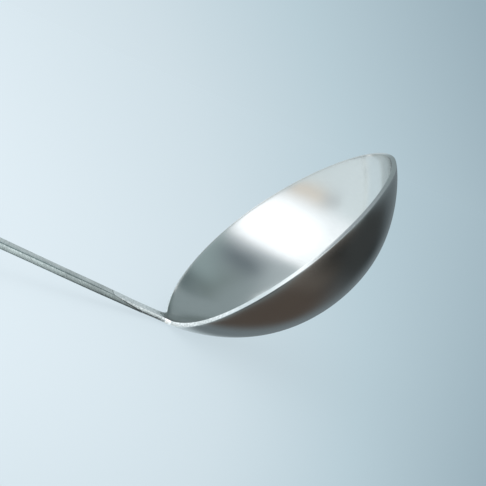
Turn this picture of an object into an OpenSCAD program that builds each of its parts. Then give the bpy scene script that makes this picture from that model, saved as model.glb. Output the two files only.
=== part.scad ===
// Soup spoon with a deep pressed bowl and a slender bar handle that rises steeply from it.
// The bowl and its neck are one pressing. The handle is a bar, welded to the neck on a long
// scarf and ground flush. Both are drawn in the frame of the rim: x towards the tip, z up
// from the rim's middle. Then they are laid down together, so that the spoon rests on the
// heel of the bowl and on the end of the handle, with the origin under its middle.

/* [Bowl] */
// Length of the rim from heel to tip
bowl_l = 72; // [66:1:80]
// Half width of the rim before its egg shape is added
bowl_half_w = 22.3; // [20:0.1:25]
// Depth from the rim to the outside of the bottom
bowl_d = 23.8; // [20:0.1:28]
// How far the deepest point lies towards the tip
deepest_x = 3.5; // [0:0.5:6]
// Share by which the rim narrows towards the tip
egg = 0.07; // [0:0.01:0.12]
// Share by which the middle of the rim is fuller than an ellipse
fullness = 0.02; // [0:0.01:0.05]
// How far heel and tip drop below the middle of the rim
rim_sag = 0.9; // [0:0.1:1.5]
// Thickness of the rim at heel and tip, measured level
rim_t = 1.25; // [1.1:0.05:1.8]
// Thickness of the rim at its sides, measured level
side_t = 1.1; // [1:0.05:1.8]
// Slope of the rim's land, which falls outwards because it is cut square to the sheet
land_slope = 20; // [0:1:24]
// Thickness of the bottom
floor_t = 1.2; // [1:0.1:1.6]
// How far the heel is drawn out towards the neck
heel_out = 0.9; // [0:0.1:1.5]

/* [Neck] */
// Angle between the level of the rim and the neck
neck_rise = 65.5; // [60:0.5:75]
// Width of the neck and of the slender part of the handle
neck_w = 3.8; // [3.4:0.1:6]
// Height over which the neck flares into the rim
flare_h = 3.5; // [2:0.5:8]
// Width of the flare on each side
flare_w = 1.6; // [1:0.2:6]
// Where the scarf starts on the outer face, along the neck from the rim
scarf_low = 7.5; // [6:0.5:9]
// Where the scarf ends on the inner face, along the neck from the rim
scarf_high = 16.5; // [14:0.5:20]
// Angle at which the two faces of the neck part as it thickens
neck_taper = 1.3; // [0.5:0.1:2]

/* [Handle] */
// Length of the handle along its curve, from the rim to the end
handle_l = 146; // [120:1:170]
// Length of its straight part above the rim
straight_l = 50; // [40:1:60]
// Angle by which the rest of it sweeps back
sweep = 24; // [10:1:30]
// Thickness of the bar
bar_t = 1.6; // [1.5:0.1:2.4]
// Thickness at the end
end_t = 1.5; // [1.4:0.1:2]
// Width at the end
end_w = 13; // [9:0.5:16]
// Radius of the bar's edges
edge_r = 0.35; // [0.2:0.05:0.5]

/* [Hidden] */
steel = [0.66, 0.68, 0.69];
bowl_a = bowl_l / 2;
// Exponents of the bowl's profile: the first rounds the bottom, the second fills the wall
profile_m = 2.4;
profile_q = 1.2;
// Exponents that keep the heel's draw close to the rim and close to the neck
heel_up = 12;
heel_round = 40;
// Facets round the bowl, and rows from its bottom to its rim
around = 96;
rows = 20;
// Length past the scarf over which the bar's edges become round
ease_l = 15;
// The wall is drawn on past the rim to here, and then trimmed to the rim and the neck
reach = scarf_high + 4;
far = 220;

// Half width of the rim at an angle round the bowl, where 0 is the tip and 180 the heel
function rim_y(angle, half_w) = half_w * sin(angle) * (1 - egg * cos(angle) - fullness * cos(2 * angle));

// A point of the bowl's wall: share is 0 at the deepest point and 1 at the rim
function wall_point(angle, share, a, half_w, depth) = [
    deepest_x * (1 - share) + share * a * cos(angle) - heel_out * share ^ heel_up * max(0, -cos(angle)) ^ heel_round,
    share * rim_y(angle, half_w),
    -rim_sag * share * cos(angle) ^ 2 - depth * (1 - share ^ profile_m) ^ (1 / profile_q)
];

// The same wall drawn on past the rim, rising at a given angle, and flat across the neck
function beyond_rim(angle, a, half_w, rise) = let(
    rim = wall_point(angle, 1, a, half_w, 0),
    middle = wall_point(180, 1, a, half_w, 0),
    plan = [rim.x - deepest_x, rim.y],
    out = plan / norm(plan) * cos(rise),
    in_neck = rim.x < 0 && abs(rim.y) < neck_w
) in_neck ? middle + [0, rim.y, 0] + reach * [-cos(rise), 0, sin(rise)] : rim + reach * [out.x, out.y, sin(rise)];

// Rows of one face of the wall, from the first above the deepest point to the end of its reach
function wall_rows(a, half_w, depth, rise) = [
    for (i = [1:rows]) for (j = [0:around - 1]) wall_point(j * 360 / around, sin(90 * i / rows), a, half_w, depth),
    for (j = [0:around - 1]) beyond_rim(j * 360 / around, a, half_w, rise)
];

// Triangles between row i and the next of a face whose points start at first
function row_faces(first, i) = [
    for (j = [0:around - 1]) let(
        a = first + i * around + j,
        b = first + i * around + (j + 1) % around
    ) each [[a, a + around, b], [b, a + around, b + around]]
];
function turned(faces) = [for (f = faces) [f[0], f[2], f[1]]];

// The pressing before it is trimmed: outer face, inner face and the ring that joins them
module pressed_shell() {
    outer = wall_rows(bowl_a, bowl_half_w, bowl_d, neck_rise - neck_taper / 2);
    inner = wall_rows(bowl_a - rim_t, bowl_half_w - side_t, bowl_d - floor_t, neck_rise + neck_taper / 2);
    first_outer = 2;
    first_inner = 2 + len(outer);
    top = rows * around;
    outer_faces = [
        for (j = [0:around - 1]) [0, first_outer + j, first_outer + (j + 1) % around],
        for (i = [0:rows - 1]) each row_faces(first_outer, i)
    ];
    inner_faces = [
        for (j = [0:around - 1]) [1, first_inner + j, first_inner + (j + 1) % around],
        for (i = [0:rows - 1]) each row_faces(first_inner, i)
    ];
    edge_faces = [
        for (j = [0:around - 1]) let(
            a = first_outer + top + j,
            b = first_outer + top + (j + 1) % around,
            c = first_inner + top + j,
            d = first_inner + top + (j + 1) % around
        ) each [[a, c, b], [b, c, d]]
    ];
    polyhedron(
        concat([[deepest_x, 0, -bowl_d], [deepest_x, 0, floor_t - bowl_d]], outer, inner),
        concat(outer_faces, turned(inner_faces), edge_faces)
    );
}

// A ring at a distance outwards from the rim's outer edge, on the slope of its land
function land_ring(distance) = [
    for (j = [0:around - 1]) let(
        rim = wall_point(j * 360 / around, 1, bowl_a, bowl_half_w, 0),
        way = wall_point((j + 1) * 360 / around, 1, bowl_a, bowl_half_w, 0)
            - wall_point((j - 1) * 360 / around, 1, bowl_a, bowl_half_w, 0),
        out = [way.y, -way.x] / norm([way.x, way.y]) * cos(land_slope)
    ) rim + distance * [out.x, out.y, -sin(land_slope)]
];

// All that lies above the land of the rim, inside and outside the bowl
module above_rim() {
    inside = land_ring(-2.5 * rim_t);
    outside = land_ring(reach);
    top = [for (p = outside) [p.x, p.y, far]];
    polyhedron(
        concat([[deepest_x, 0, 0], [deepest_x, 0, far]], inside, outside, top),
        concat(
            [for (j = [0:around - 1]) [0, 2 + j, 2 + (j + 1) % around]],
            row_faces(2, 0),
            row_faces(2, 1),
            [for (j = [0:around - 1]) [1, 2 + 2 * around + (j + 1) % around, 2 + 2 * around + j]]
        )
    );
}

// Where the neck's flare leaves the rim
foot_y = neck_w / 2 + flare_w;
foot = wall_point(180 - asin(foot_y / bowl_half_w / (1 + egg - fullness)), 1, bowl_a, bowl_half_w, 0);

// The neck seen from behind: parallel sides that flare into the rim in a fair curve
module neck_outline() {
    steps = 10;
    side = [for (i = [0:steps]) let(t = i / steps) [neck_w / 2 + flare_w * (1 - t) ^ 2, flare_h * t ^ 2]];
    right = concat([[foot_y, -far]], side, [[neck_w / 2, far]]);
    polygon(concat(right, [for (i = [len(right) - 1:-1:0]) [-right[i].x, right[i].y]]));
}

// Space that holds the neck and its flare, with the slope of the land
module neck_space() {
    translate([foot.x, 0, foot.z]) rotate([0, -land_slope, 0]) translate([-far, 0, 0])
        rotate([90, 0, 90]) linear_extrude(far + bowl_a / 4) neck_outline();
}

// Direction of the neck, and a point of its faces at a distance along it from the rim
neck_dir = [-cos(neck_rise), sin(neck_rise)];
heel = [-bowl_a - heel_out, -rim_sag];
neck_t = rim_t * sin(neck_rise);
scarf_outer = heel + scarf_low * neck_dir;
scarf_inner = heel + [rim_t, 0] + scarf_high * neck_dir;

// The side of the scarf where the handle lies
module handle_side() {
    slope = (scarf_inner - scarf_outer) / norm(scarf_inner - scarf_outer);
    rotate([90, 0, 0]) linear_extrude(far, center = true) polygon([
        scarf_outer - slope * scarf_low / 2,
        scarf_outer - slope * scarf_low / 2 - [far, 0],
        scarf_inner + slope * far - [far, 0],
        scarf_inner + slope * far
    ]);
}

// Thickness and width of the bar at a distance along it from the rim
function bar_thickness(e) = e < straight_l
    ? min(bar_t, neck_t + 2 * e * tan(neck_taper / 2))
    : bar_t + (end_t - bar_t) * (e - straight_l) / (handle_l - straight_l);
function eased(u) = u * u * (3 - 2 * u);
function round_end(e) = let(u = max(0, e - handle_l + end_w / 2) / (end_w / 2)) sqrt(max(0.02, 1 - u * u));
function bar_width(e) = (neck_w + (end_w - neck_w) * eased(max(0, e - straight_l * 0.7) / (handle_l - straight_l * 0.7)))
    * round_end(e);

// Middle line of the bar: straight along the neck, then an arc that sweeps back
arc_l = handle_l - straight_l;
arc_r = arc_l / (sweep * PI / 180);
function bar_rise(e) = neck_rise - sweep * max(0, e - straight_l) / arc_l;
function bar_centre(e) = let(
    start = heel + [rim_t / 2, 0] + min(e, straight_l) * neck_dir,
    rise = bar_rise(e)
) start + arc_r * [sin(rise) - sin(neck_rise), cos(rise) - cos(neck_rise)];

// The bar's edges are sharp at the scarf, like those of the neck, and round off beyond it
function edge_radius(e) = edge_r * max(0.2, min(1, (e - scarf_high) / ease_l));

// Across and through the bar: the 16 points of its section, four to each rounded corner
function section(w, t, edge) = let(r = min(edge, w / 2.5, t / 2.5)) [
    for (corner = [[1, 1, 0], [-1, 1, 90], [-1, -1, 180], [1, -1, 270]]) for (k = [0:3])
        [corner[0] * (w / 2 - r) + r * cos(corner[2] + k * 30), corner[1] * (t / 2 - r) + r * sin(corner[2] + k * 30)]
];
section_n = 16;
function ring(e) = let(c = bar_centre(e), rise = bar_rise(e)) [
    for (p = section(bar_width(e), bar_thickness(e), edge_radius(e))) [c.x + p.y * sin(rise), p.x, c.y + p.y * cos(rise)]
];

// Stations along the bar, closer together where it turns round at its end
stations = concat(
    [scarf_low - 3],
    [for (i = [0:27]) scarf_high + (handle_l - end_w / 2 - scarf_high) * i / 27],
    [for (i = [1:8]) handle_l - end_w / 2 + end_w / 2 * sin(90 * i / 8)]
);

module bar() {
    rings = [for (e = stations) each ring(e)];
    last = (len(stations) - 1) * section_n;
    sides = [
        for (i = [0:len(stations) - 2]) for (j = [0:section_n - 1]) let(
            a = i * section_n + j,
            b = i * section_n + (j + 1) % section_n
        ) each [[a, b, a + section_n], [b, b + section_n, a + section_n]]
    ];
    ends = [[for (j = [section_n - 1:-1:0]) j], [for (j = [0:section_n - 1]) last + j]];
    polyhedron(rings, concat(sides, ends));
}

// Height of a point of the rim's frame above the table, and its place along it, at a pitch
function height_at(p, pitch) = p.x * sin(pitch) + p[len(p) - 1] * cos(pitch);
function along_at(p, pitch) = p.x * cos(pitch) - p[len(p) - 1] * sin(pitch);
heel_line = [for (i = [1:rows]) wall_point(180, sin(90 * i / rows), bowl_a, bowl_half_w, bowl_d)];
tip_line = [for (i = [0:rows]) wall_point(0, sin(90 * i / rows), bowl_a, bowl_half_w, bowl_d)];
bar_end = [for (e = stations) if (e > handle_l - end_w) each ring(e)];
function lowest(points, pitch) = min([for (p = points) height_at(p, pitch)]);
// The pitch at which heel and handle end touch the table together, halving the range each time
function resting(low, high, left) = let(
    mid = (low + high) / 2,
    end_is_up = lowest(bar_end, mid) > lowest(heel_line, mid)
) left == 0 ? mid : end_is_up ? resting(mid, high, left - 1) : resting(low, mid, left - 1);
rest_pitch = resting(20, 80, 30);
back = min([for (p = bar_end) along_at(p, rest_pitch)]);
front = max([for (p = tip_line) along_at(p, rest_pitch)]);

module at_rest() {
    translate([-(back + front) / 2, 0, -lowest(heel_line, rest_pitch)]) rotate([0, -rest_pitch, 0]) children();
}

module bowl() {
    color(steel) at_rest() difference() {
        pressed_shell();
        difference() {
            above_rim();
            neck_space();
        }
        handle_side();
    }
}

module handle() {
    color(steel) at_rest() intersection() {
        bar();
        handle_side();
    }
}

bowl();
handle();
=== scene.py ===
"""A soup spoon: a deep pressed steel bowl and a slender bar handle, lying on a pale floor.

Both pieces are drawn in millimetres in the frame of the bowl's rim (x towards the tip, z out of
the bowl), and are then laid on the floor by a Pose, which also turns them into metres.
"""

import logging
import math
from collections.abc import Callable
from dataclasses import dataclass, field
from enum import Enum

import bmesh
import bpy
from mathutils import Matrix, Vector


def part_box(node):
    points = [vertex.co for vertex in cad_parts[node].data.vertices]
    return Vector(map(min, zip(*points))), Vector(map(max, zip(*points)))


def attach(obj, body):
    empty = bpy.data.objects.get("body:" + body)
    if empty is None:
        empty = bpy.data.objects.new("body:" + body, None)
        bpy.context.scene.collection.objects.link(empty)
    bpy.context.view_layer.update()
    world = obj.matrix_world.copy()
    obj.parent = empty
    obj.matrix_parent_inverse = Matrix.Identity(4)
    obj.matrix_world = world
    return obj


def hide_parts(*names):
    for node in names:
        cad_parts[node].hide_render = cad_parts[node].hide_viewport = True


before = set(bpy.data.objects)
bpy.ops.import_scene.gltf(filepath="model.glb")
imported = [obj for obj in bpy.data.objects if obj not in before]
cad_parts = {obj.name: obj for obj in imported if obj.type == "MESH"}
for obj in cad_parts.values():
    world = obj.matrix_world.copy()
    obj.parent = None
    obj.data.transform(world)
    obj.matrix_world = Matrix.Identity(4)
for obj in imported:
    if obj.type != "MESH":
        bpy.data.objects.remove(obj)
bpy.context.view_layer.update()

BODY = "root"
METRES = 0.001
# Faces that meet at more than this keep a sharp edge between them
SEAM_ANGLE = math.radians(35)
# The smallest gap that counts, in millimetres
HAIR = 0.0001
# Steps of a search that halves its range each time
HALVINGS = 40
HALF_TURN = 180.0
log = logging.getLogger("spoon")

Colour = tuple[float, float, float]
Pair = tuple[float, float]
Triple = tuple[float, float, float]
Stops = tuple[tuple[float, Colour], ...]
Socket = bpy.types.NodeSocket


class Side(Enum):
    """The two faces of the sheet."""

    OUTER = "outer"
    INNER = "inner"


class Finish(Enum):
    """The two finishes of the steel, by the number of their material slot."""

    SATIN = 0
    GROUND = 1


class Nodes:
    """A node tree with short calls for the nodes that the materials share."""

    def __init__(self, tree: bpy.types.NodeTree) -> None:
        """Keeps the tree, emptied."""
        self.tree = tree
        tree.nodes.clear()

    def add(self, kind: str, values: dict | None = None, **settings: object) -> bpy.types.Node:
        """Adds a node.

        Args:
            kind: Its type.
            values: Input name or number to a value or to a socket that feeds it.
            settings: Properties of the node.

        Returns:
            The node.
        """
        node = self.tree.nodes.new(kind)
        for name, value in settings.items():
            setattr(node, name, value)
        for name, value in (values or {}).items():
            if isinstance(value, Socket):
                self.tree.links.new(value, node.inputs[name])
            else:
                node.inputs[name].default_value = value
        return node

    def math(self, operation: str, *values: object) -> Socket:
        """Adds a Math node and returns its output."""
        return self.add("ShaderNodeMath", dict(enumerate(values)), operation=operation).outputs[0]

    def vector(self, operation: str, values: dict, output: str = "Vector") -> Socket:
        """Adds a Vector Math node and returns one of its outputs."""
        return self.add("ShaderNodeVectorMath", values, operation=operation).outputs[output]

    def mapped(self, place: Socket, setting: str, value: Triple) -> Socket:
        """Adds a Mapping node with one of its settings changed, and returns the moved place."""
        return self.add("ShaderNodeMapping", {"Vector": place, setting: value}).outputs["Vector"]

    def noise(self, place: Socket, scale: float, detail: float) -> Socket:
        """Adds a noise and returns its strength."""
        values = {"Vector": place, "Scale": scale, "Detail": detail}
        return self.add("ShaderNodeTexNoise", values).outputs["Fac"]

    def ranged(
        self, value: Socket, source: Pair, target: Pair = (0.0, 1.0), steps: str = "LINEAR",
    ) -> Socket:
        """Adds a map of a value from one range to another.

        Args:
            value: What it reads.
            source: The range that it reads, outside which the result stays the same.
            target: What the two ends of that range become.
            steps: How it goes from one end to the other.

        Returns:
            The mapped value.
        """
        inputs = {
            "Value": value,
            "From Min": source[0],
            "From Max": source[1],
            "To Min": target[0],
            "To Max": target[1],
        }
        return self.add("ShaderNodeMapRange", inputs, interpolation_type=steps).outputs["Result"]

    def spread(self, value: Socket, edge: float, soft: float) -> Socket:
        """Adds a smooth fall of a value, from 1 to 0 over a soft edge, and returns its output."""
        return self.ranged(value, (edge - soft / 2, edge + soft / 2), (1.0, 0.0), "SMOOTHSTEP")

    def mix(self, factor: object, first: object, second: object, label: str = "") -> Socket:
        """Adds a colour mix.

        Args:
            factor: How much of the second colour shows, from 0 to 1.
            first: A colour or a socket.
            second: A colour or a socket.
            label: What the mix adds, for whoever opens the tree.

        Returns:
            The mixed colour.
        """
        values = {"Factor": factor, "A": first, "B": second}
        node = self.add("ShaderNodeMix", data_type="RGBA", label=label)
        for socket in node.inputs:
            if socket.type == "RGBA" or socket.name == "Factor" and socket.type == "VALUE":
                value = values[socket.name]
                if isinstance(value, Socket):
                    self.tree.links.new(value, socket)
                else:
                    socket.default_value = value
        return next(socket for socket in node.outputs if socket.type == "RGBA")

    def ramp(self, factor: Socket, stops: Stops) -> Socket:
        """Adds a colour ramp.

        Args:
            factor: What it reads, from 0 to 1.
            stops: Positions and linear colours.

        Returns:
            The colour.
        """
        node = self.add("ShaderNodeValToRGB", {"Fac": factor})
        elements = node.color_ramp.elements
        halfway = 0.5
        while len(elements) < len(stops):
            elements.new(halfway)
        for element, (position, colour) in zip(elements, stops):
            element.position = position
            element.color = (*colour, 1)
        return node.outputs["Color"]


@dataclass(frozen=True)
class Zone:
    """A change of a finish along X, in metres: of its grain, and of a painted shade on its colour.

    Past the end its colour is multiplied by a factor of painted shade, and the depth of its grain by
    polish.
    """

    start: float
    end: float
    painted_shade: float
    polish: float


@dataclass(frozen=True)
class Steel:
    """A finish of the stainless steel, on the object's own coordinates in metres."""

    name: str
    # Colour and roughness of the grain's crests and of its hollows
    bright: Colour
    dull: Colour
    roughness: Pair
    # Repeats of the grain per metre, its height in metres and its turn about Y in degrees
    grain: Triple
    grain_height: float
    turn: float = 0.0
    grain_detail: float = 3.0
    # The unevenness under the grain, and its height in metres
    wave: float = 70.0
    wave_height: float = 0.0
    wave_detail: float = 2.0
    # How much of the pattern is grain, and the part of it that goes from dull to bright
    grain_part: float = 0.6
    contrast: Pair = (0.36, 0.64)
    # Places where the grain changes and painted shade darkens the colour, and the share of bright steel
    # where it is polished
    zones: tuple[Zone, ...] = ()
    polished: float = 0.75

    def build(self) -> bpy.types.Material:
        """Makes the material: a fine grain over a soft unevenness, duller in its hollows.

        Returns:
            The material.
        """
        material = bpy.data.materials.new(self.name)
        material.use_nodes = True
        nodes = Nodes(material.node_tree)
        place = nodes.add("ShaderNodeTexCoord").outputs["Object"]
        turned = nodes.mapped(place, "Rotation", (0, math.radians(self.turn), 0))
        grain = nodes.noise(nodes.mapped(turned, "Scale", self.grain), 1.0, self.grain_detail)
        wave = nodes.noise(place, self.wave, self.wave_detail)
        under = nodes.math("MULTIPLY", wave, 1 - self.grain_part)
        both = nodes.math("MULTIPLY_ADD", grain, self.grain_part, under)
        share = nodes.ranged(both, self.contrast)
        strength: float | Socket = 1.0
        painted_shade: float | Socket = 1.0
        along = nodes.add("ShaderNodeSeparateXYZ", {"Vector": place}).outputs["X"]
        for zone in self.zones:
            before = nodes.ranged(along, (zone.start, zone.end), (1.0, 0.0), "SMOOTHSTEP")
            polish = nodes.math("MULTIPLY_ADD", before, 1 - zone.polish, zone.polish)
            strength = nodes.math("MULTIPLY", strength, polish)
            # Painted shade: the colour is darker past this zone's end
            darker = nodes.math("MULTIPLY_ADD", before, 1 - zone.painted_shade, zone.painted_shade)
            painted_shade = nodes.math("MULTIPLY", painted_shade, darker)
        if self.zones:
            off = nodes.math("SUBTRACT", share, self.polished)
            share = nodes.math("MULTIPLY_ADD", off, strength, self.polished)
        low, high = self.roughness
        worn = nodes.ranged(share, (0.0, 1.0), (high, low))
        colour = nodes.mix(share, (*self.dull, 1), (*self.bright, 1))
        # Painted shade: the steel's colour is darkened along X
        if self.zones:
            colour = nodes.vector("SCALE", {0: colour, "Scale": painted_shade})
        uneven = nodes.add(
            "ShaderNodeBump", {"Height": wave, "Strength": 1.0, "Distance": self.wave_height},
        ).outputs["Normal"]
        normal = nodes.add(
            "ShaderNodeBump",
            {"Height": grain, "Strength": strength, "Distance": self.grain_height, "Normal": uneven},
        ).outputs["Normal"]
        shader = nodes.add(
            "ShaderNodeBsdfPrincipled",
            {"Base Color": colour, "Metallic": 1.0, "Roughness": worn, "Normal": normal},
        )
        nodes.add("ShaderNodeOutputMaterial", {"Surface": shader.outputs["BSDF"]})
        return material


SATIN_BOWL = Steel(
    name="satin_steel",
    bright=(0.65, 0.66, 0.65),
    dull=(0.63, 0.64, 0.63),
    roughness=(0.17, 0.20),
    grain=(700, 700, 2600),
    grain_height=0.0000004,
    wave_height=0.00003,
)
GROUND_RIM = Steel(
    name="ground_edge",
    bright=(0.82, 0.83, 0.82),
    dull=(0.48, 0.50, 0.49),
    roughness=(0.16, 0.32),
    grain=(1900, 1500, 1500),
    grain_height=0.00008,
    # Painted shade: the second zone darkens the land towards the tip; the first only makes the grain
    # shallower
    zones=(Zone(0.051, 0.060, 1.0, 0.12), Zone(0.066, 0.074, 0.82, 1.0)),
)
SATIN_BAR = Steel(
    name="satin_bar",
    bright=(0.60, 0.62, 0.60),
    dull=(0.40, 0.42, 0.40),
    roughness=(0.24, 0.34),
    grain=(4000, 350, 350),
    grain_height=0.00001,
    turn=12.0,
    wave=260.0,
    # Painted shade: the top of the bar is darker towards the neck
    zones=(Zone(0.002, 0.022, 0.82, 1.0),),
)
GROUND_BAR = Steel(
    name="ground_bar",
    bright=(0.66, 0.71, 0.69),
    dull=(0.42, 0.46, 0.45),
    roughness=(0.24, 0.42),
    grain=(3600, 500, 700),
    grain_height=0.00006,
    turn=25.0,
    wave=260.0,
    # Painted shade: the sides of the bar are darker towards the neck
    zones=(Zone(0.012, 0.030, 0.62, 1.0),),
)


def eased(share: float) -> float:
    """A smooth step from 0 to 1.

    Args:
        share: How far along the step, from 0 to 1.

    Returns:
        The eased share.
    """
    held = min(1.0, max(0.0, share))
    return held * held * (3 - 2 * held)


def sharp_edges(
    bm: bmesh.types.BMesh, least: float, skip: Callable[[bmesh.types.BMEdge], bool],
) -> list[bmesh.types.BMEdge]:
    """Finds the edges whose two faces meet at an angle.

    Args:
        bm: The mesh.
        least: The smallest angle that counts, in degrees.
        skip: Says which edges stay as they are.

    Returns:
        The edges to round.
    """
    bm.normal_update()
    meets = [edge for edge in bm.edges if len(edge.link_faces) == 2 and not skip(edge)]
    return [edge for edge in meets if edge.calc_face_angle() > math.radians(least)]


def make_piece(
    bm: bmesh.types.BMesh, name: str, node: str, finishes: dict[Finish, Steel],
) -> bpy.types.Object:
    """Turns a finished mesh into a piece of the spoon that stands for its node.

    Args:
        bm: The mesh, in metres and in place.
        name: The piece's name.
        node: The node that it stands for.
        finishes: The steel of each finish.

    Returns:
        The new object.
    """
    for edge in bm.edges:
        edge.smooth = edge.calc_face_angle(0) < SEAM_ANGLE
    for face in bm.faces:
        face.smooth = True
    mesh = bpy.data.meshes.new(name)
    bm.to_mesh(mesh)
    bm.free()
    for finish in Finish:
        mesh.materials.append(finishes[finish].build())
    piece = bpy.data.objects.new(name, mesh)
    bpy.context.scene.collection.objects.link(piece)
    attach(piece, BODY)
    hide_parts(node)
    return piece


@dataclass(frozen=True)
class Sheet:
    """The sheet that the bowl and its neck are pressed from, in millimetres and degrees."""

    # The rim, from heel to tip and half across, and the bowl's depth to the outside
    length: float = 72.0
    half_width: float = 22.3
    depth: float = 23.8
    # How far the deepest point lies towards the tip
    deepest_x: float = 3.5
    # Shares by which the rim narrows towards the tip and is fuller than an ellipse
    egg: float = 0.07
    fullness: float = 0.02
    # How far heel and tip drop below the middle of the rim
    rim_sag: float = 0.9
    # Thickness at heel and tip, at the sides and at the bottom, and the slope of the rim's land
    rim_t: float = 1.25
    side_t: float = 1.1
    floor_t: float = 1.2
    land_slope: float = 20.0
    # How far the heel is drawn out, and the exponents that keep the draw close to the neck
    heel_out: float = 0.9
    heel_up: int = 12
    heel_round: int = 40
    # Exponents of the profile: the first rounds the bottom, the second fills the wall
    profile_m: float = 2.4
    profile_q: float = 1.2
    # Angle and width of the neck, and the angle at which its two faces part
    neck_rise: float = 65.5
    neck_taper: float = 1.3
    neck_w: float = 3.8
    # Height and width of the flare on each side
    flare_h: float = 3.5
    flare_w: float = 1.6
    # Where the scarf starts on the outer face and ends on the inner face, up the neck
    scarf_low: float = 7.5
    scarf_high: float = 16.5
    # Length over which the neck turns from the rim's curve to flat
    flat_l: float = 11.0
    # Radius of the long edges on each face
    inner_r: float = 0.2
    outer_r: float = 0.45

    @property
    def heel(self) -> Vector:
        """The rim's outermost point at the heel, on the outer face."""
        return Vector((-self.length / 2 - self.heel_out, 0, -self.rim_sag))

    def along_neck(self, distance: float) -> Vector:
        """The step from the heel to a distance along the neck."""
        rise = math.radians(self.neck_rise)
        return distance * Vector((-math.cos(rise), 0, math.sin(rise)))

    def rise(self, side: Side) -> float:
        """The angle at which a face of the sheet rises into the neck, in radians."""
        half = self.neck_taper / 2
        return math.radians(self.neck_rise + (half if side is Side.INNER else -half))

    def lip(self, angle: float) -> float:
        """How far the land's inner edge stands above its outer edge, because it is square to the sheet.

        Args:
            angle: Round the bowl, in radians.

        Returns:
            The height.
        """
        gap = self.rim_t * math.cos(angle) ** 2 + self.side_t * math.sin(angle) ** 2
        slope = math.tan(math.radians(self.land_slope))
        return gap * slope / (1 + slope / math.tan(self.rise(Side.INNER)))

    def wall(self, angle: float, share: float, side: Side) -> Vector:
        """A point of the bowl's wall.

        Args:
            angle: Round the bowl, in radians, where 0 is the tip and pi the heel.
            share: From 0 at the deepest point to 1 at the rim.
            side: Which face of the sheet.

        Returns:
            The point in the rim's frame.
        """
        inner = side is Side.INNER
        long = self.length / 2 - (self.rim_t if inner else 0)
        wide = self.half_width - (self.side_t if inner else 0)
        deep = self.depth - (self.floor_t if inner else 0)
        cosine = math.cos(angle)
        plan = 1 - self.egg * cosine - self.fullness * math.cos(2 * angle)
        heel = self.heel_out * share**self.heel_up * max(0.0, -cosine) ** self.heel_round
        bowl = deep * max(0.0, 1 - share**self.profile_m) ** (1 / self.profile_q)
        level = Vector((
            self.deepest_x * (1 - share) + share * long * cosine - heel,
            share * wide * math.sin(angle) * plan,
            -self.rim_sag * share * cosine**2 - bowl,
        ))
        if inner:
            out = Vector((level.x - self.deepest_x, level.y, 0)).normalized()
            out.z = math.tan(self.rise(side))
            level += out * share**self.heel_up * self.lip(angle) / out.z
        return level

    def rim_angle(self, y: float, side: Side) -> float:
        """The angle round the bowl at which the heel's half of the rim reaches a half width.

        Args:
            y: The half width, in millimetres.
            side: Which face of the sheet.

        Returns:
            The angle in radians.
        """
        low, high = math.pi / 2, math.pi
        for _ in range(HALVINGS):
            middle = (low + high) / 2
            if self.wall(middle, 1, side).y > y:
                low = middle
            else:
                high = middle
        return (low + high) / 2

    def flare(self, share: float) -> Pair:
        """The neck's outline where it flares into the rim.

        Args:
            share: From 0 at the rim to 1 where the neck's sides become parallel.

        Returns:
            The half width there and the distance up the neck.
        """
        return self.neck_w / 2 + self.flare_w * (1 - share) ** 2, self.flare_h * share**2

    def neck_end(self, side: Side) -> float:
        """The distance up the neck from the rim's edge to the scarf.

        Args:
            side: Which face of the sheet.

        Returns:
            The distance.
        """
        if side is Side.OUTER:
            return self.scarf_low
        return self.scarf_high - self.lip(math.pi) / math.sin(self.rise(side))

    def neck(self, y: float, distance: float, side: Side) -> Vector:
        """A point of the neck's sheet, which turns from the rim's curve to flat as it rises.

        Args:
            y: Across the neck.
            distance: Up the neck from the rim's edge.
            side: Which face of the sheet.

        Returns:
            The point in the rim's frame.
        """
        rise = self.rise(side)
        rim = self.wall(self.rim_angle(abs(y), side), 1, side)
        middle = self.wall(math.pi, 1, side)
        level = rim.lerp(middle, eased(distance / self.flat_l))
        return Vector((level.x - distance * math.cos(rise), y, level.z + distance * math.sin(rise)))

    def rounding(self, inset: float, distance: float) -> Vector:
        """The step that rounds the outer face into the neck's side, and fades in above the rim.

        Args:
            inset: From the neck's side towards its middle line.
            distance: Up the neck from the rim's edge.

        Returns:
            The step towards the inner face.
        """
        left = self.outer_r - min(inset, self.outer_r)
        step = self.outer_r - math.sqrt(self.outer_r**2 - left**2)
        rise = self.rise(Side.OUTER)
        return step * eased(distance / self.flare_h) * Vector((math.sin(rise), 0, math.cos(rise)))


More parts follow.
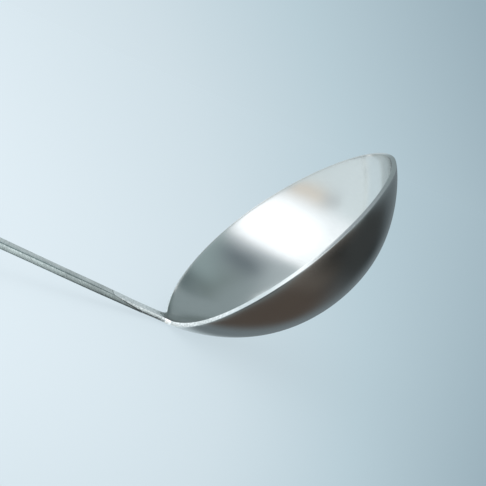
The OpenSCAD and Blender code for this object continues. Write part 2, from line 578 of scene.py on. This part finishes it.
@dataclass
class Bowl:
    """The pressed bowl with the neck that rises from its heel."""

    sheet: Sheet
    finishes: dict[Finish, Steel]
    # Columns round the bowl and across the neck
    around: int = 168
    neck_columns: int = 12
    # Rows of the wall, of the flare and of the neck above it
    rows: int = 48
    flare_rows: int = 12
    neck_rows: int = 10
    # The row of the flare at which the ground finish starts
    ground_from: int = 5
    # Radius of the hole that the blank is closed over, as a share of its own
    pole: float = 0.004
    # Edges that turn by more than this many degrees are rounded
    least_turn: float = 40.0
    edge_segments: int = 3

    def blank(self) -> bmesh.types.BMesh:
        """Spins a round blank of radius 1, and draws a tab out of it for the neck.

        Returns:
            The flat blank. Its tab has one row of vertices at each whole radius past 1.
        """
        bm = bmesh.new()
        shares = [math.sin(math.pi / 2 * row / self.rows) for row in range(self.rows + 1)]
        spokes = [bm.verts.new((self.pole + (1 - self.pole) * share, 0, 0)) for share in shares]
        edges = [bm.edges.new(pair) for pair in zip(spokes, spokes[1:])]
        bmesh.ops.spin(
            bm, geom=spokes + edges, cent=(0, 0, 0), axis=(0, 0, 1), dvec=(0, 0, 0),
            angle=math.tau, steps=self.around, use_merge=True, use_duplicate=False,
        )
        bmesh.ops.remove_doubles(bm, verts=bm.verts, dist=self.pole / self.around)
        border = [edge for edge in bm.edges if edge.is_boundary]
        hole = [edge for edge in border if edge.verts[0].co.length < 2 * self.pole]
        bmesh.ops.contextual_create(bm, geom=hole)
        reach = math.tau / self.around * (self.neck_columns + 1) / 2
        tab = [
            edge for edge in bm.edges
            if edge.is_boundary and all(abs(math.atan2(v.co.y, -v.co.x)) < reach for v in edge.verts)
        ]
        for row in range(self.flare_rows + self.neck_rows):
            made = bmesh.ops.extrude_edge_only(bm, edges=tab)["geom"]
            tab = [part for part in made if isinstance(part, bmesh.types.BMEdge) and part.is_boundary]
            tab = [edge for edge in tab if all(vert in made for vert in edge.verts)]
            for vert in {vert for edge in tab for vert in edge.verts}:
                vert.co *= (row + 2) / (row + 1)
            if row >= self.ground_from:
                for part in made:
                    if isinstance(part, bmesh.types.BMFace):
                        part.material_index = Finish.GROUND.value
        return bm

    def press(self, spot: Vector, side: Side) -> Vector:
        """Presses one spot of the blank to its place.

        Args:
            spot: Where it is on the flat blank.
            side: Which face of the sheet.

        Returns:
            Its place in the rim's frame.
        """
        turn = math.atan2(spot.y, -spot.x)
        column = turn / (math.tau / self.around)
        half = self.neck_columns / 2
        widest = math.pi - self.sheet.rim_angle(self.sheet.flare(0)[0], side)
        across = math.sin(math.pi / 2 * max(-1.0, min(1.0, column / half)))
        if abs(column) <= half:
            turn = across * widest
        else:
            rest = (abs(column) - half) / (self.around / 2 - half)
            turn = math.copysign(widest + (math.pi - widest) * rest, column)
        row = round(spot.length) - 1
        if row < 1:
            return self.sheet.wall(math.pi - turn, min(spot.length, 1.0), side)
        wide, distance = self.sheet.flare(min(1, row / self.flare_rows))
        above = row - self.flare_rows
        if above > 0:
            distance += (self.sheet.neck_end(side) - distance) * above / self.neck_rows
        level = self.sheet.neck(wide * across, distance, side)
        if side is Side.OUTER:
            level += self.sheet.rounding(wide * (1 - abs(across)), distance)
        return level

    def at_scarf(self, edge: bmesh.types.BMEdge) -> bool:
        """Whether an edge runs across the neck at the scarf, where it meets the bar.

        Args:
            edge: An edge of the pressed sheet.

        Returns:
            True for the edges that stay sharp.
        """
        start = self.sheet.along_neck(self.sheet.scarf_low).z + self.sheet.heel.z
        first, second = (vert.co for vert in edge.verts)
        return min(first.z, second.z) > start - self.sheet.inner_r and abs(first.y - second.y) > HAIR

    def build(self, pose: Matrix) -> bpy.types.Object:
        """Presses the blank's two faces, joins them round the rim and rounds the edges.

        Args:
            pose: From the rim's frame to the row's frame.

        Returns:
            The finished piece.
        """
        bm = self.blank()
        copied = bmesh.ops.duplicate(bm, geom=bm.verts[:] + bm.edges[:] + bm.faces[:])["geom"]
        inner = {part for part in copied if isinstance(part, bmesh.types.BMVert)}
        for vert in bm.verts:
            vert.co = self.press(vert.co, Side.INNER if vert in inner else Side.OUTER)
        border = [edge for edge in bm.edges if edge.is_boundary]
        land = bmesh.ops.bridge_loops(bm, edges=border)["faces"]
        for face in land:
            face.material_index = Finish.GROUND.value
        bmesh.ops.recalc_face_normals(bm, faces=bm.faces)
        edges = sharp_edges(bm, self.least_turn, self.at_scarf)
        rounded = bmesh.ops.bevel(
            bm, geom=edges, offset=self.sheet.inner_r, offset_type="OFFSET", affect="EDGES",
            segments=self.edge_segments, profile=0.5, material=-1, clamp_overlap=True,
        )["faces"]
        for face in rounded:
            face.material_index = Finish.GROUND.value
        bmesh.ops.transform(bm, matrix=pose, verts=bm.verts)
        return make_piece(bm, "pressed_bowl", "bowl", self.finishes)


@dataclass
class Handle:
    """The bar that is welded to the neck, in millimetres and degrees."""

    sheet: Sheet
    finishes: dict[Finish, Steel]
    # Length from the rim to the end, its straight part, and the angle by which the rest bends
    length: float = 146.0
    straight: float = 50.0
    sweep: float = 24.0
    # Thickness of the straight part and of the end
    thick: float = 1.6
    end_thick: float = 1.5
    # Width of the end, the share of its half that is round, and where on the straight part it widens
    end_w: float = 13.0
    end_round: float = 0.97
    widen_from: float = 0.7
    # Thickness of the blank, which is fitted to the bar's at every station
    blank_t: float = 2.0
    stations: int = 72
    # Radius of the long edges, and the length past the scarf over which it is reached
    edge_r: float = 0.35
    ease_l: float = 14.0
    # Edges that turn by more than this many degrees are rounded
    least_turn: float = 50.0
    edge_segments: int = 4
    end_segments: int = 14

    def thickness(self, distance: float) -> float:
        """Thickness at a distance along the handle.

        Args:
            distance: Along its middle line, from the rim.

        Returns:
            The thickness.
        """
        if distance < self.straight:
            neck = self.sheet.rim_t * math.sin(math.radians(self.sheet.neck_rise))
            grown = 2 * distance * math.tan(math.radians(self.sheet.neck_taper / 2))
            return min(self.thick, neck + grown)
        share = (distance - self.straight) / (self.length - self.straight)
        return self.thick + (self.end_thick - self.thick) * share

    def width(self, distance: float) -> float:
        """Width at a distance along the handle, before its end is rounded.

        Args:
            distance: Along its middle line, from the rim.

        Returns:
            The width.
        """
        start = self.straight * self.widen_from
        share = eased((distance - start) / (self.length - start))
        return self.sheet.neck_w + (self.end_w - self.sheet.neck_w) * share

    def place(self, distance: float, across: float, through: float) -> Vector:
        """A point of the bar.

        Args:
            distance: Along its middle line, from the rim.
            across: From the middle line towards +Y.
            through: From the middle line towards the inner face.

        Returns:
            The point in the rim's frame.
        """
        curved = max(0.0, distance - self.straight)
        radius = (self.length - self.straight) / math.radians(self.sweep)
        start = math.radians(self.sheet.neck_rise)
        rise = start - curved / radius
        bend = Vector((math.sin(rise) - math.sin(start), 0, math.cos(rise) - math.cos(start)))
        middle = self.sheet.heel + Vector((self.sheet.rim_t / 2, 0, 0))
        middle += self.sheet.along_neck(min(distance, self.straight))
        middle += radius * bend
        return middle + Vector((through * math.sin(rise), across, through * math.cos(rise)))

    def roundness(self, distance: float, side: Side) -> float:
        """Radius of the bar's edges on one face, which starts as the neck's."""
        start = self.sheet.inner_r if side is Side.INNER else self.sheet.outer_r
        return start + (self.edge_r - start) * eased((distance - self.sheet.scarf_high) / self.ease_l)

    def fitted(self, spot: float, blank: float, size: float, radius: float) -> float:
        """Moves a coordinate of the blank's section to the bar's, with rounded edges of another radius.

        Args:
            spot: The coordinate, from the section's middle.
            blank: The blank's size in this direction.
            size: The bar's size there.
            radius: The radius of the bar's edges there.

        Returns:
            The coordinate on the bar.
        """
        inset = blank / 2 - abs(spot)
        if inset < self.edge_r:
            inset *= radius / self.edge_r
        else:
            inset = radius + (inset - self.edge_r) * (size / 2 - radius) / (blank / 2 - self.edge_r)
        return math.copysign(size / 2 - inset, spot)

    def at_end(self, edge: bmesh.types.BMEdge) -> bool:
        """Whether an edge runs through the straight bar's thickness at its far end."""
        first, second = (vert.co for vert in edge.verts)
        return min(first.x, second.x) > self.length / 2 and abs(first.z - second.z) > self.blank_t / 2

    def blank(self) -> bmesh.types.BMesh:
        """Cuts a straight bar of full width, with a round end, rounded edges and cuts at every station.

        Returns:
            The bar: x along it, y across it and z through it.
        """
        bm = bmesh.new()
        size = Matrix.Diagonal((self.length, self.end_w, self.blank_t, 1))
        bmesh.ops.create_cube(bm, size=1, matrix=Matrix.Translation((self.length / 2, 0, 0)) @ size)
        bmesh.ops.bevel(
            bm, geom=[edge for edge in bm.edges if self.at_end(edge)],
            offset=self.end_w / 2 * self.end_round, offset_type="OFFSET", affect="EDGES",
            segments=self.end_segments, profile=0.5, material=-1, clamp_overlap=False,
        )
        scarf = {vert for vert in bm.verts if vert.co.x < HAIR}
        for face in bm.faces:
            if not round(face.normal.z):
                face.material_index = Finish.GROUND.value
        edges = sharp_edges(bm, self.least_turn, lambda edge: all(vert in scarf for vert in edge.verts))
        rounded = bmesh.ops.bevel(
            bm, geom=edges, offset=self.edge_r, offset_type="OFFSET", affect="EDGES",
            segments=self.edge_segments, profile=0.5, material=-1, clamp_overlap=True,
        )["faces"]
        for face in rounded:
            face.material_index = Finish.GROUND.value
        for station in range(1, self.stations):
            cut = (self.length - self.end_w / 2) * station / self.stations
            bmesh.ops.bisect_plane(
                bm, geom=bm.verts[:] + bm.edges[:] + bm.faces[:], dist=HAIR,
                plane_co=(cut, 0, 0), plane_no=(1, 0, 0),
            )
        return bm

    def build(self, pose: Matrix) -> bpy.types.Object:
        """Bends the bar to its line and slants its scarf.

        Args:
            pose: From the rim's frame to the row's frame.

        Returns:
            The finished piece.
        """
        bm = self.blank()
        middle = (self.sheet.scarf_low + self.sheet.scarf_high) / 2
        for vert in bm.verts:
            along, across, through = vert.co
            start = middle + (self.sheet.scarf_high - self.sheet.scarf_low) * through / self.blank_t
            along = start + (self.length - start) * along / self.length
            radius = self.roundness(along, Side.INNER if through > 0 else Side.OUTER)
            across = self.fitted(across, self.end_w, self.width(along), radius)
            through = self.fitted(through, self.blank_t, self.thickness(along), radius)
            vert.co = self.place(along, across, through)
        bmesh.ops.recalc_face_normals(bm, faces=bm.faces)
        bmesh.ops.transform(bm, matrix=pose, verts=bm.verts)
        return make_piece(bm, "bar_handle", "handle", self.finishes)


@dataclass
class Pose:
    """How the spoon lies: on the heel of its bowl and the end of its handle."""

    sheet: Sheet
    handle: Handle
    # The pitch lies between these, in degrees
    least_pitch: float = 20.0
    most_pitch: float = 80.0
    # Points down the bowl's profile
    points: int = 90

    def matrix(self) -> Matrix:
        """Finds the pitch at which heel and handle end touch the floor together.

        Returns:
            The transform from the rim's frame in millimetres to the row's frame in metres.
        """
        shares = [math.sin(math.pi / 2 * point / self.points) for point in range(1, self.points + 1)]
        heel = [self.sheet.wall(math.pi, share, Side.OUTER) for share in shares]
        half = self.handle.end_thick / 2
        end = [self.handle.place(self.handle.length, 0, through) for through in (-half, half)]
        low, high = math.radians(self.least_pitch), math.radians(self.most_pitch)
        for _ in range(HALVINGS):
            pitch = (low + high) / 2
            turn = Matrix.Rotation(-pitch, 4, "Y")
            if min((turn @ spot).z for spot in end) > min((turn @ spot).z for spot in heel):
                low = pitch
            else:
                high = pitch
        box_low, box_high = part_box("bowl")
        tip = max((turn @ self.sheet.wall(0, share, Side.OUTER)).x for share in shares)
        floor = min((turn @ spot).z for spot in heel)
        shift = Matrix.Translation((box_high.x - tip * METRES, 0, box_low.z - floor * METRES))
        return shift @ Matrix.Scale(METRES, 4) @ turn


@dataclass(frozen=True)
class Patch:
    """A soft-edged patch of the room that the steel reflects, in degrees."""

    name: str
    azimuth: float
    elevation: float
    half_wide: float
    half_high: float
    soft: float
    lean: float
    colour: Colour


# Each patch by its name, azimuth, elevation, half width, half height, softness, lean and colour.
# A later patch lies over the earlier ones.
ROOM = (
    Patch("pale floor on the left", -109.0, -29.0, 79.0, 36.0, 5.0, 0.43, (0.93, 1.05, 1.10)),
    Patch("dark floor underneath", -60.0, -80.0, 80.0, 18.0, 8.0, 0.0, (0.05, 0.055, 0.06)),
    Patch("wall over the window", -139.0, 29.5, 54.0, 26.0, 34.0, 0.38, (0.525, 0.605, 0.64)),
    Patch("bright spot high on the left", -96.0, 52.0, 11.0, 16.0, 6.0, 0.0, (3.2, 3.35, 3.45)),
    Patch("dark strip behind", -179.0, 33.5, 28.5, 6.4, 30.0, 0.42, (0.045, 0.07, 0.10)),
    Patch("grey ceiling behind", 164.0, 69.0, 28.0, 7.0, 34.0, -0.48, (0.205, 0.26, 0.25)),
    Patch("grey ceiling on the right", 139.0, 52.0, 30.0, 19.0, 34.0, -0.34, (0.165, 0.218, 0.228)),
    Patch("lower window", -134.0, 2.7, 95.0, 12.5, 14.0, 0.10, (1.32, 1.40, 1.46)),
    Patch("upper window", -134.0, 16.1, 95.0, 14.4, 1.5, 0.23, (1.48, 1.55, 1.60)),
    Patch("bright part of the window", -168.0, 8.0, 36.0, 11.5, 26.0, 0.15, (2.0, 2.05, 2.15)),
    Patch("grey wall high on the left", -55.0, 52.0, 22.0, 12.0, 6.0, 0.0, (0.42, 0.48, 0.52)),
    Patch("beige spot under the window", -150.0, -15.0, 14.0, 4.0, 7.0, 0.03, (0.95, 0.83, 0.70)),
    Patch("grey spot under the window", -134.0, -15.5, 7.0, 3.6, 7.0, -0.2, (0.66, 0.71, 0.74)),
    Patch("wall behind on the right", 159.0, 31.0, 17.5, 26.5, 24.0, 0.47, (0.375, 0.48, 0.495)),
    Patch("pale floor behind", 165.0, -16.0, 20.0, 12.0, 8.0, 0.0, (0.74, 0.84, 0.86)),
    Patch("pale floor ahead", 6.0, -30.0, 94.0, 58.0, 11.0, -0.02, (0.82, 0.96, 1.03)),
    Patch("bright wall on the left", -42.0, 3.0, 24.0, 14.0, 8.0, 0.0, (1.22, 1.32, 1.38)),
    Patch("wall ahead", 21.0, 8.0, 16.0, 14.0, 10.0, 0.0, (0.71, 0.81, 0.85)),
    Patch("wall ahead on the right", 52.0, 32.0, 28.0, 16.0, 10.0, 0.0, (0.66, 0.76, 0.80)),
    Patch("dim floor on the right", 66.0, -24.5, 39.0, 48.0, 24.0, 0.22, (0.195, 0.235, 0.255)),
    Patch("brown floor on the right", 98.0, -44.0, 33.0, 29.0, 28.0, 0.38, (0.10, 0.08, 0.067)),
    Patch("brown spot on the right", 113.0, -12.5, 15.5, 16.0, 12.0, -0.14, (0.195, 0.17, 0.148)),
    Patch("black strip on the right", 93.0, -8.0, 29.0, 11.5, 30.0, -0.10, (0.010, 0.012, 0.012)),
    Patch("dark spot on the right", 91.0, -2.0, 15.0, 12.5, 12.0, 0.18, (0.048, 0.053, 0.054)),
    Patch("dark floor behind", 161.0, -66.0, 25.0, 38.0, 8.0, 0.0, (0.03, 0.035, 0.04)),
)


@dataclass
class Studio:
    """Camera, floor, backdrop and light, in metres and degrees."""

    camera_at: Vector = field(default_factory=lambda: Vector((-0.019542, -0.175383, 0.058316)))
    aim: Vector = field(default_factory=lambda: Vector((0.40578, 0.89901, -0.16468)))
    roll: float = 24.033
    lens: float = 56.627
    clip_start: float = 0.01
    floor_size: float = 12.0
    # The gradient of floor and backdrop: its middle on the floor, the azimuth that it runs to,
    # the distance over which it turns on the floor, and its rise in the backdrop
    gradient_from: Triple = (0.0436, -0.1300, 0.0)
    gradient_azimuth: float = 137.4
    gradient_reach: float = 0.0646
    gradient_tilt: float = 0.911
    ramp_range: Pair = (-0.80, -0.05)
    ramp: Stops = (
        (0.0, (0.745, 0.845, 0.905)),
        (0.35, (0.626, 0.735, 0.794)),
        (0.65, (0.483, 0.611, 0.674)),
        (1.0, (0.327, 0.436, 0.496)),
    )
    # How much of the floor's colour the camera sees plain, without its light and shadow
    plain_part: float = 0.82
    # The room that the steel reflects, and the even light that falls on the floor
    room: Colour = (0.34, 0.415, 0.435)
    patches: tuple[Patch, ...] = ROOM
    even_light: Colour = (1.0, 1.0, 1.0)
    # The soft light behind the camera, by its direction from the bowl
    window_faces: Triple = (0.066, 0.0, 0.03)
    window_azimuth: float = -150.0
    window_elevation: float = 11.0
    window_roll: float = 9.0
    window_distance: float = 0.8
    window_size: Pair = (1.20, 0.66)
    window_radiance: float = 0.5

    def direction(self, azimuth: float, elevation: float) -> Vector:
        """A direction by its azimuth from +Y towards +X and its elevation, in degrees."""
        turn, rise = math.radians(azimuth), math.radians(elevation)
        return Vector((math.sin(turn) * math.cos(rise), math.cos(turn) * math.cos(rise), math.sin(rise)))

    def place_camera(self) -> None:
        """Sets the camera at the photograph's place."""
        data = bpy.data.cameras.new("camera")
        data.lens = self.lens
        data.clip_start = self.clip_start
        camera = bpy.data.objects.new("camera", data)
        camera.rotation_mode = "QUATERNION"
        look = self.aim.to_track_quat("-Z", "Y")
        spin = Matrix.Rotation(math.radians(self.roll), 3, "Z").to_quaternion()
        camera.rotation_quaternion = look @ spin
        camera.location = self.camera_at
        bpy.context.scene.collection.objects.link(camera)
        bpy.context.scene.camera = camera

    def backdrop_colour(self, nodes: Nodes, vector: Socket, reach: float) -> Socket:
        """The pale blue gradient of floor and backdrop.

        Args:
            nodes: The tree to build in.
            vector: A place on the floor, or a direction in the world.
            reach: Distance over which the floor's gradient turns, 0 for a direction.

        Returns:
            The colour.
        """
        way = self.direction(self.gradient_azimuth, 0)
        way.z = 0 if reach else self.gradient_tilt
        along = nodes.vector("DOT_PRODUCT", {0: vector, 1: way}, "Value")
        if reach:
            square = nodes.vector("DOT_PRODUCT", {0: vector, 1: vector}, "Value")
            distance = nodes.math("SQRT", nodes.math("ADD", square, reach**2))
            along = nodes.math("DIVIDE", along, distance)
        return nodes.ramp(nodes.ranged(along, self.ramp_range), self.ramp)

    def lay_floor(self) -> None:
        """Lays the pale floor. The camera sees its colour plain, with part of the spoon's shadow."""
        bm = bmesh.new()
        bmesh.ops.create_grid(bm, x_segments=1, y_segments=1, size=self.floor_size)
        mesh = bpy.data.meshes.new("floor")
        bm.to_mesh(mesh)
        bm.free()
        floor = bpy.data.objects.new("floor", mesh)
        bpy.context.scene.collection.objects.link(floor)
        floor.visible_glossy = False
        floor.visible_shadow = False
        material = bpy.data.materials.new("pale_floor")
        material.use_nodes = True
        nodes = Nodes(material.node_tree)
        place = nodes.add("ShaderNodeTexCoord").outputs["Object"]
        centred = nodes.vector("SUBTRACT", {0: place, 1: self.gradient_from})
        colour = self.backdrop_colour(nodes, centred, self.gradient_reach)
        seen = nodes.add("ShaderNodeLightPath").outputs["Is Camera Ray"]
        share = nodes.math("MULTIPLY", seen, self.plain_part)
        plain = nodes.add("ShaderNodeEmission", {"Color": colour}).outputs["Emission"]
        lit = nodes.add("ShaderNodeBsdfDiffuse", {"Color": colour}).outputs["BSDF"]
        mixed = nodes.add("ShaderNodeMixShader", {0: share, 1: lit, 2: plain}).outputs["Shader"]
        nodes.add("ShaderNodeOutputMaterial", {"Surface": mixed})
        mesh.materials.append(material)

    def fill_world(self) -> None:
        """Fills the world: the backdrop for the camera, and the room for the steel."""
        world = bpy.data.worlds.new("room")
        world.use_nodes = True
        bpy.context.scene.world = world
        nodes = Nodes(world.node_tree)
        way = nodes.add("ShaderNodeTexCoord").outputs["Generated"]
        parts = nodes.add("ShaderNodeSeparateXYZ", {"Vector": way}).outputs
        azimuth = nodes.math("DEGREES", nodes.math("ARCTAN2", parts["X"], parts["Y"]))
        elevation = nodes.math("DEGREES", nodes.math("ARCSINE", parts["Z"]))
        room: tuple | Socket = (*self.room, 1)
        for patch in self.patches:
            off = nodes.math("SUBTRACT", azimuth, patch.azimuth)
            turned = nodes.math("WRAP", off, HALF_TURN, -HALF_TURN)
            above = nodes.math("SUBTRACT", elevation, patch.elevation)
            leant = nodes.math("SUBTRACT", above, nodes.math("MULTIPLY", turned, patch.lean))
            wide = nodes.spread(nodes.math("ABSOLUTE", turned), patch.half_wide, patch.soft)
            high = nodes.spread(nodes.math("ABSOLUTE", leant), patch.half_high, patch.soft)
            cover = nodes.math("MULTIPLY", wide, high)
            room = nodes.mix(cover, room, (*patch.colour, 1), patch.name)
        backdrop = self.backdrop_colour(nodes, way, 0)
        path = nodes.add("ShaderNodeLightPath").outputs
        seen = nodes.mix(path["Is Camera Ray"], room, backdrop)
        plain = nodes.mix(path["Is Diffuse Ray"], seen, (*self.even_light, 1))
        light = nodes.add("ShaderNodeBackground", {"Color": plain}).outputs["Background"]
        nodes.add("ShaderNodeOutputWorld", {"Surface": light})

    def hang_window(self) -> None:
        """Hangs the large soft light behind the camera."""
        data = bpy.data.lights.new("window", "AREA")
        data.shape = "RECTANGLE"
        data.size, data.size_y = self.window_size
        data.energy = self.window_radiance * math.pi * data.size * data.size_y
        window = bpy.data.objects.new("window", data)
        way = self.direction(self.window_azimuth, self.window_elevation)
        window.rotation_mode = "QUATERNION"
        spin = Matrix.Rotation(math.radians(self.window_roll), 3, "Z").to_quaternion()
        window.rotation_quaternion = (-way).to_track_quat("-Z", "Y") @ spin
        window.location = Vector(self.window_faces) + way * self.window_distance
        window.visible_camera = False
        window.visible_glossy = False
        bpy.context.scene.collection.objects.link(window)

    def build(self) -> None:
        """Builds the whole studio."""
        self.place_camera()
        self.lay_floor()
        self.fill_world()
        self.hang_window()
        bpy.context.scene.view_settings.view_transform = "Standard"


def main() -> None:
    """Builds the spoon and its studio."""
    logging.basicConfig(level=logging.INFO, format="%(name)s: %(message)s")
    sheet = Sheet()
    bowl = Bowl(sheet, {Finish.SATIN: SATIN_BOWL, Finish.GROUND: GROUND_RIM})
    handle = Handle(sheet, {Finish.SATIN: SATIN_BAR, Finish.GROUND: GROUND_BAR})
    pose = Pose(sheet, handle).matrix()
    for part in (bowl, handle):
        piece = part.build(pose)
        log.info("%s: %d faces", piece.name, len(piece.data.polygons))
    Studio().build()


if __name__ == "__main__":
    main()
